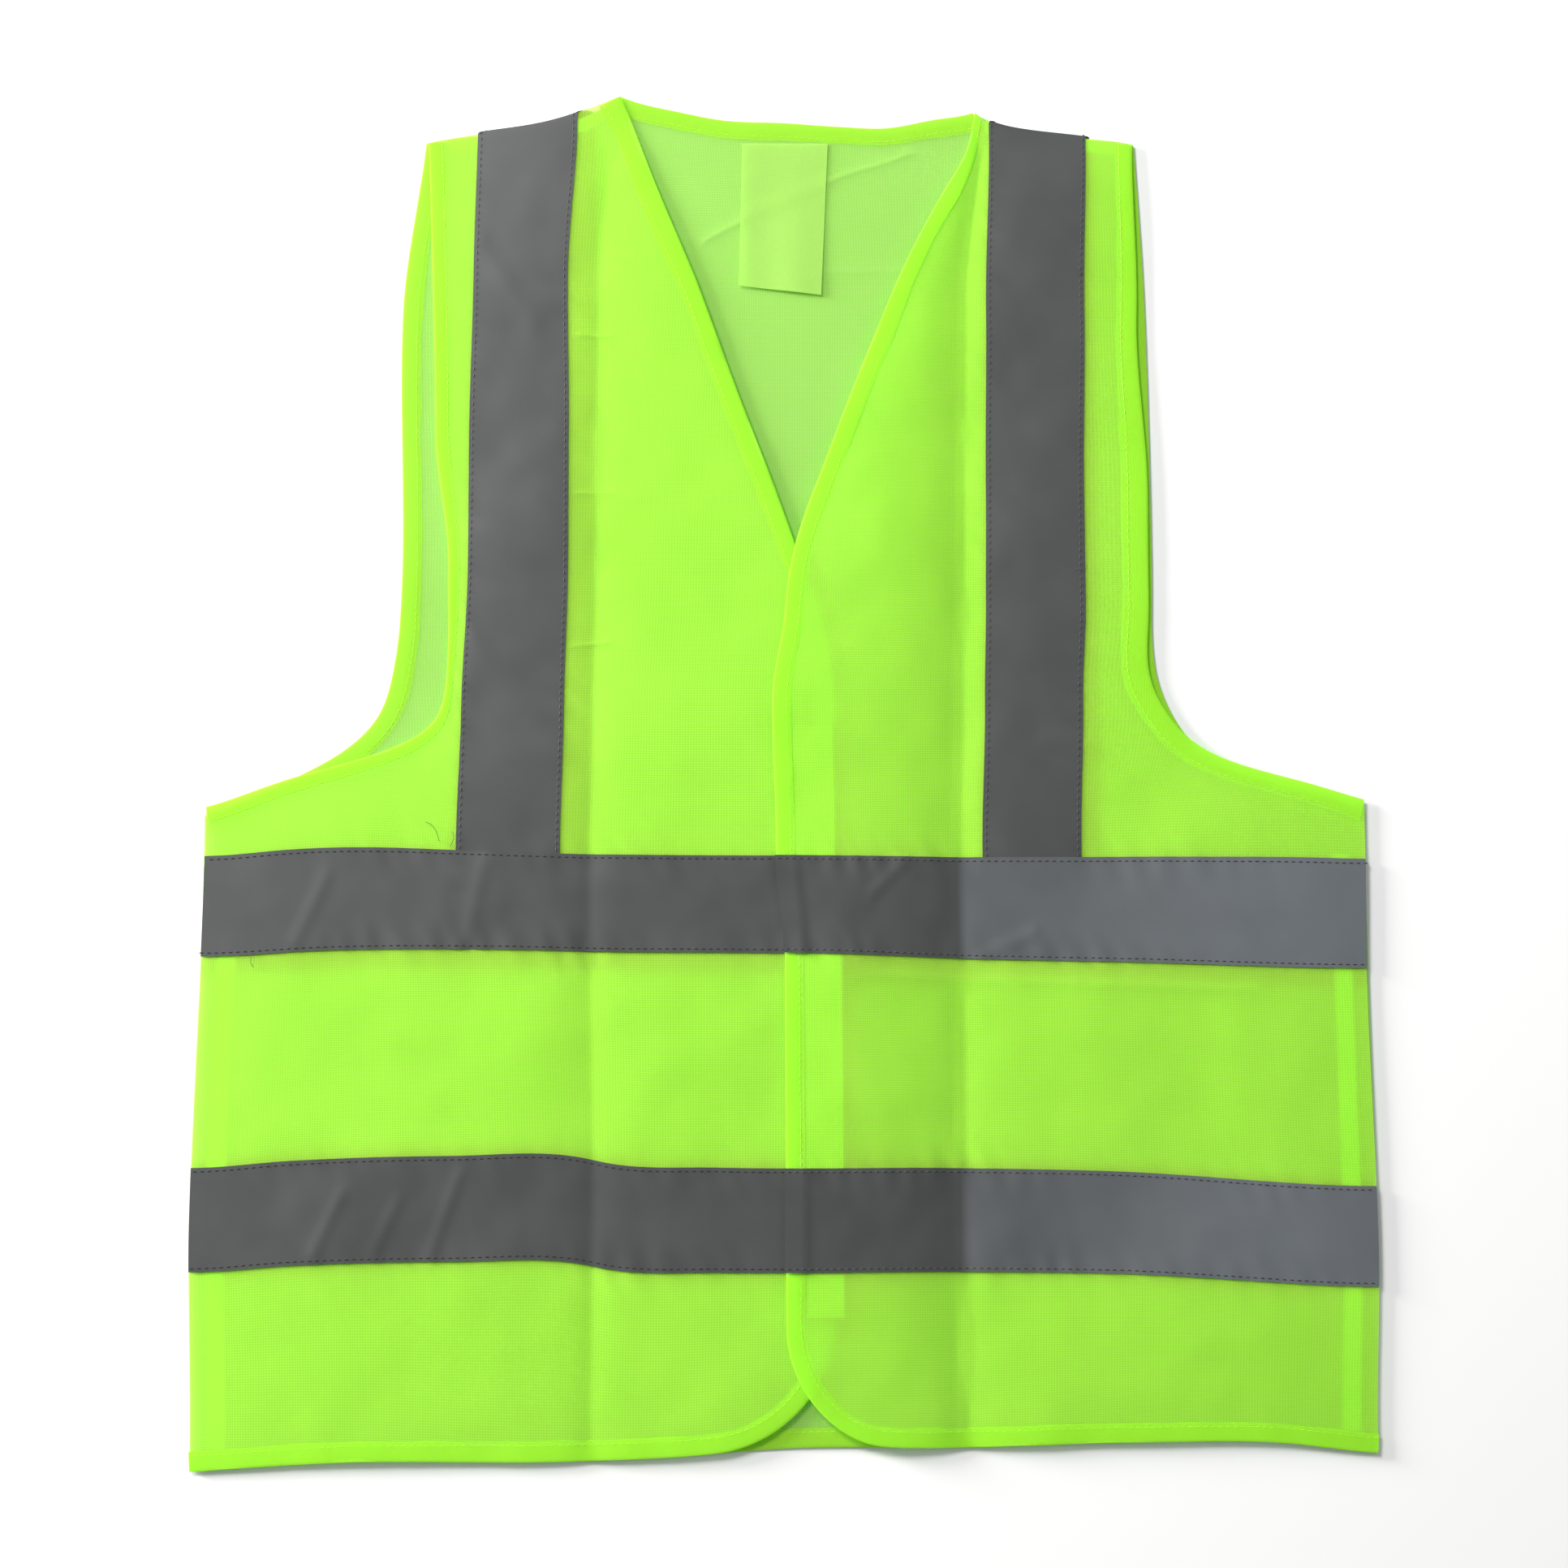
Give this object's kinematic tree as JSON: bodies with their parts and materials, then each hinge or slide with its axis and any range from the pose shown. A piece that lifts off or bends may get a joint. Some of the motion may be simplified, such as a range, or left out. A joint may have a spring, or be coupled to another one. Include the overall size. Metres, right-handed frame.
{
  "type": "high visibility vest",
  "caption": "Sleeveless front-opening mesh safety vest with reflective bands and braces, laid flat, its two fronts opening on fold lines.",
  "frame": {"origin": "middle of the flat outline, on the surface that the back's tapes lie on", "axes": "+X to the wearer's left, +Y from the hem to the neck, +Z out of the front"},
  "size_m": [0.578, 0.69, 0.0137],
  "materials": {
    "lime_mesh": "matt knitted polyester mesh",
    "lime_binding": "matt woven bias binding",
    "reflective_tape": "satin retro-reflective tape",
    "hook_and_loop": "matt pile",
    "label": "thin woven label, blank"
  },
  "bodies": {
    "vest_body": {"back_panel": "lime_mesh", "back_hem_binding": "lime_binding", "back_upper_tape": "reflective_tape", "back_lower_tape": "reflective_tape", "neck_binding": "lime_binding", "front_right_side_panel": "lime_mesh", "front_right_hem_binding": "lime_binding", "front_right_upper_side_tape": "reflective_tape", "front_right_lower_side_tape": "reflective_tape", "front_left_side_panel": "lime_mesh", "front_left_hem_binding": "lime_binding", "front_left_upper_side_tape": "reflective_tape", "front_left_lower_side_tape": "reflective_tape", "right_armhole_binding": "lime_binding", "left_armhole_binding": "lime_binding", "right_brace_tape": "reflective_tape", "left_brace_tape": "reflective_tape", "right_side_seam": "lime_mesh", "left_side_seam": "lime_mesh", "right_shoulder_seam": "lime_mesh", "left_shoulder_seam": "lime_mesh"},
    "left_front": {"front_left_leaf_panel": "lime_mesh", "front_left_edge_binding": "lime_binding", "front_left_upper_leaf_tape": "reflective_tape", "front_left_lower_leaf_tape": "reflective_tape", "hook_strip": "hook_and_loop"},
    "right_front": {"front_right_leaf_panel": "lime_mesh", "front_right_edge_binding": "lime_binding", "front_right_upper_leaf_tape": "reflective_tape", "front_right_lower_leaf_tape": "reflective_tape", "loop_strip": "hook_and_loop"},
    "label": {"care_label": "label"}
  },
  "joints": [
    {"name": "left_front_open", "type": "hinge", "parent": "vest_body", "child": "left_front", "pos_m": [0.092, 0, 0.014], "axis": [-0.0116, 0.9999, 0], "range_deg": [0, 170]},
    {"name": "right_front_open", "type": "hinge", "parent": "vest_body", "child": "right_front", "pos_m": [-0.092, 0, 0.0107], "axis": [-0.0116, -0.9999, 0], "range_deg": [0, 85]},
    {"name": "label_flip", "type": "hinge", "parent": "vest_body", "child": "label", "pos_m": [0, 0.3197, 0.0027], "axis": [-1, 0, 0], "range_deg": [0, 170]}
  ],
  "couplings": [
    {"joint": "right_front_open", "follows": "left_front_open", "ratio": 0.5}
  ]
}
